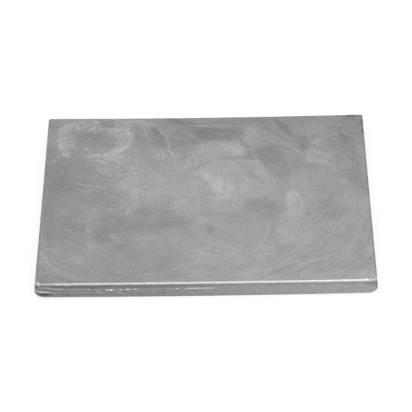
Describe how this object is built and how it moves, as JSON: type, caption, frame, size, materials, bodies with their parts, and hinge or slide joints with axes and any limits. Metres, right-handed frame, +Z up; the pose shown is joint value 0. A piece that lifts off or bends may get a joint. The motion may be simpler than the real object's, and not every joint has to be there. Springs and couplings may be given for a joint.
{
  "type": "zinc plate",
  "caption": "Thick square plate of cast zinc with drafted side walls, a crisp upper edge and rounded lower corners; raw stock for melting, anodes or machining.",
  "frame": {"origin": "centre of the underside, on the plane that the plate rests on", "axes": "+Z up through the thickness, +X to the right along the length, +Y away from the viewer along the width"},
  "size_m": [0.3, 0.3, 0.015],
  "materials": {
    "zinc": "satin"
  },
  "bodies": {
    "root": {"zinc_plate": "zinc"}
  },
  "joints": []
}
